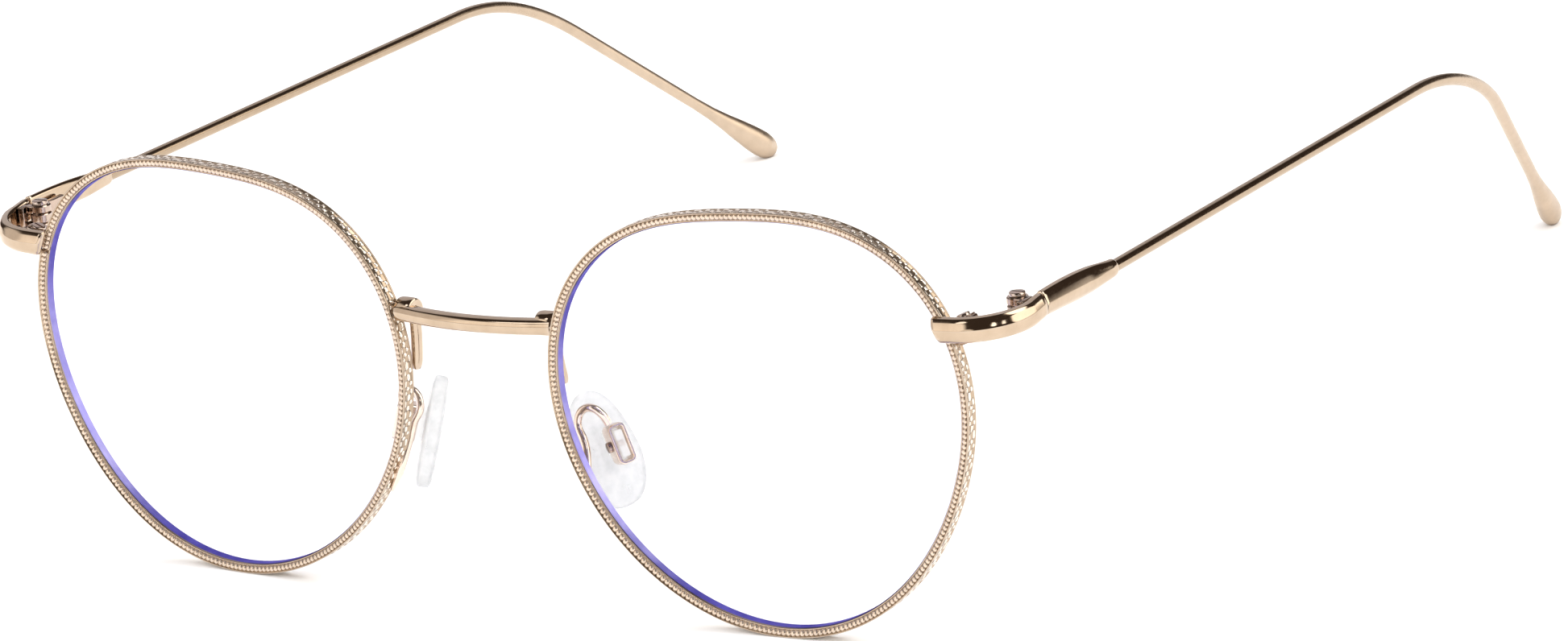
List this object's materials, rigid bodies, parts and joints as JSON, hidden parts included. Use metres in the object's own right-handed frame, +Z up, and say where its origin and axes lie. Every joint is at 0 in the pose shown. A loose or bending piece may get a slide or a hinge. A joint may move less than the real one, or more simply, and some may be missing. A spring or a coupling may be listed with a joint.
{
  "type": "eyeglasses",
  "caption": "Round metal eyeglasses with clear lenses, an arched bridge, soft nose pads on bent arms, and thin folding wire temples that end in flattened drops.",
  "frame": {"origin": "on the ground at the centre of the object's box, midway between the lenses and midway from the front to the temple tips", "axes": "+X to the right as seen from the front, +Y back towards the wearer's ears, +Z up; the glasses stand open on their eyewires and temple tips"},
  "size_m": [0.142, 0.1436, 0.0492],
  "materials": {
    "polished_metal": "polished rose-gold plating",
    "satin_metal": "soft satin rose-gold plating",
    "screw_metal": "turned, slotted",
    "lens": "clear, coated",
    "silicone": "clear, soft"
  },
  "bodies": {
    "front": {"rim_right": "satin_metal", "rim_left": "satin_metal", "lens_right": "lens", "lens_left": "lens", "rim_lock_upper_right": "satin_metal", "rim_lock_upper_left": "satin_metal", "rim_lock_lower_right": "satin_metal", "rim_lock_lower_left": "satin_metal", "rim_lock_screw_right": "screw_metal", "rim_lock_screw_left": "screw_metal", "bridge": "polished_metal", "bridge_foot_right": "polished_metal", "bridge_foot_left": "polished_metal", "end_piece_right": "polished_metal", "end_piece_left": "polished_metal", "hinge_front_leaf_right": "satin_metal", "hinge_front_leaf_left": "satin_metal", "hinge_screw_right": "screw_metal", "hinge_screw_left": "screw_metal", "pad_arm_right": "polished_metal", "pad_arm_left": "polished_metal", "pad_box_right": "polished_metal", "pad_box_left": "polished_metal", "pad_screw_right": "screw_metal", "pad_screw_left": "screw_metal"},
    "temple_right": {"temple_shank_right": "polished_metal", "temple_wire_right": "satin_metal", "hinge_rear_leaf_right": "satin_metal"},
    "temple_left": {"temple_shank_left": "polished_metal", "temple_wire_left": "satin_metal", "hinge_rear_leaf_left": "satin_metal"},
    "pad_right": {"nose_pad_right": "silicone"},
    "pad_left": {"nose_pad_left": "silicone"}
  },
  "joints": [
    {"name": "temple_hinge_right", "type": "hinge", "parent": "front", "child": "temple_right", "pos_m": [0.0675, -0.06114, 0.03779], "axis": [0, 0.0553, 0.9985], "range_deg": [0, 88]},
    {"name": "temple_hinge_left", "type": "hinge", "parent": "front", "child": "temple_left", "pos_m": [-0.0675, -0.06114, 0.03779], "axis": [0, -0.0553, -0.9985], "range_deg": [0, 81]},
    {"name": "pad_rock_right", "type": "hinge", "parent": "front", "child": "pad_right", "pos_m": [0.01477, -0.06581, 0.01889], "axis": [0.5084, 0.8515, 0.1282], "range_deg": [-8, 8]},
    {"name": "pad_rock_left", "type": "hinge", "parent": "front", "child": "pad_left", "pos_m": [-0.01477, -0.06581, 0.01889], "axis": [-0.5084, 0.8515, 0.1282], "range_deg": [-8, 8]}
  ]
}
